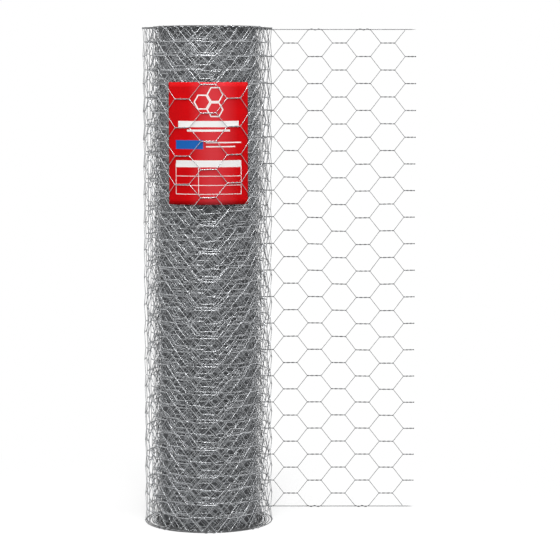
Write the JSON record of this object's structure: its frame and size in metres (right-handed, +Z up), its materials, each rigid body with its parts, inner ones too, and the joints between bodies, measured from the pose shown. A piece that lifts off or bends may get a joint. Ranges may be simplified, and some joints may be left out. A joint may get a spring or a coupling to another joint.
{
  "type": "roll of chicken wire",
  "caption": "Standing roll of galvanised hexagonal wire netting with an open bore, its outer end drawn off flat and a printed card under the outermost turn.",
  "frame": {"origin": "on the roll's axis, at its lower end", "axes": "+Z up along the roll's axis, +X along the drawn-off end, -Y out through the card"},
  "size_m": [0.833, 0.3941, 1.5],
  "materials": {
    "galvanised_wire": "hot-dip galvanised",
    "printed_card": "printed, semi-gloss"
  },
  "bodies": {
    "root": {"wound_roll": "galvanised_wire", "pulled_out_end": "galvanised_wire", "label_card": "printed_card"}
  },
  "joints": []
}
